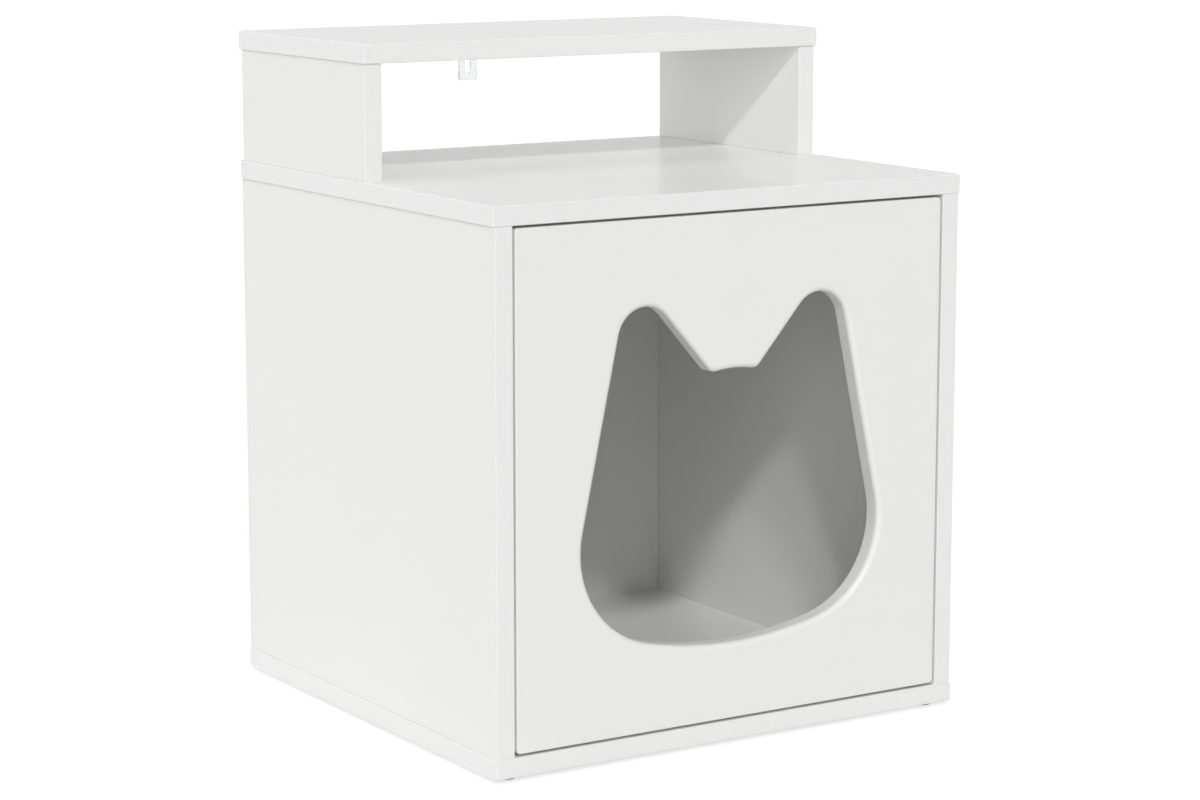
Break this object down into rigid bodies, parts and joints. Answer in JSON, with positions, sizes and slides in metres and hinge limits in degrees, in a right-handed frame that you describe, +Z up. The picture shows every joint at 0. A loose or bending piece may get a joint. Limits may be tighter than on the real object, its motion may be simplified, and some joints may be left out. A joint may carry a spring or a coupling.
{
  "type": "cat house",
  "caption": "Small white cabinet used as a cat house: a hinged door with a cat-head opening, a lower top and a raised shelf across the back, on low glides.",
  "frame": {"origin": "on the floor, under the middle of the cabinet's bounding box", "axes": "+X to the right when facing the door, +Y to the back (the door faces -Y), +Z up"},
  "size_m": [0.42, 0.4, 0.5275],
  "materials": {
    "board_white": "satin white coated board",
    "door_white": "satin white foil",
    "back_white": "white lacquered hardboard",
    "dowel_wood": "raw beech",
    "hinge_steel": "nickel plated",
    "screw_steel": "zinc plated",
    "cam_zinc": "die-cast",
    "cap_white": "matt",
    "bracket_clear": "clear",
    "foot_black": "matt"
  },
  "bodies": {
    "carcass": {"base_panel": "board_white", "left_side_panel": "board_white", "right_side_panel": "board_white", "back_panel": "back_white", "top_panel": "board_white", "riser_left_side": "board_white", "riser_right_side": "board_white", "riser_shelf": "board_white", "base_dowels": "dowel_wood", "top_dowels": "dowel_wood", "riser_dowels": "dowel_wood", "shelf_dowels": "dowel_wood", "base_screws": "screw_steel", "riser_screws": "screw_steel", "cam_bolts": "screw_steel", "cam_locks": "cam_zinc", "cam_caps": "cap_white", "back_nails": "screw_steel", "foot_front_left": "foot_black", "foot_front_right": "foot_black", "foot_back_left": "foot_black", "foot_back_right": "foot_black", "foot_nails": "screw_steel", "wall_bracket": "bracket_clear", "wall_bracket_screw": "screw_steel", "upper_hinge_arm": "hinge_steel", "lower_hinge_arm": "hinge_steel", "hinge_arm_pins": "hinge_steel", "hinge_arm_screws": "screw_steel", "upper_hinge_plate": "hinge_steel", "lower_hinge_plate": "hinge_steel", "hinge_plate_screws": "screw_steel"},
    "outer_links": {"upper_outer_links": "hinge_steel", "lower_outer_links": "hinge_steel"},
    "door": {"door_panel": "door_white", "upper_hinge_cup": "hinge_steel", "lower_hinge_cup": "hinge_steel", "hinge_cup_screws": "screw_steel", "hinge_cup_pins": "hinge_steel"},
    "inner_links": {"upper_inner_link": "hinge_steel", "lower_inner_link": "hinge_steel"}
  },
  "joints": [
    {"name": "outer_link_swing", "type": "hinge", "parent": "carcass", "child": "outer_links", "pos_m": [0.17625, -0.1848, 0.2135], "axis": [0, 0, 1], "range_deg": [0, 21.2]},
    {"name": "door_swing", "type": "hinge", "parent": "outer_links", "child": "door", "pos_m": [0.17435, -0.1942, 0.2135], "axis": [0, 0, 1], "range_deg": [0, 74]},
    {"name": "inner_link_swing", "type": "hinge", "parent": "carcass", "child": "inner_links", "pos_m": [0.17695, -0.191, 0.2135], "axis": [0, 0, 1], "range_deg": [0, 77.2]}
  ],
  "couplings": [
    {"joint": "outer_link_swing", "follows": "door_swing", "ratio": 0.2837},
    {"joint": "inner_link_swing", "follows": "door_swing", "ratio": 1.0411}
  ]
}
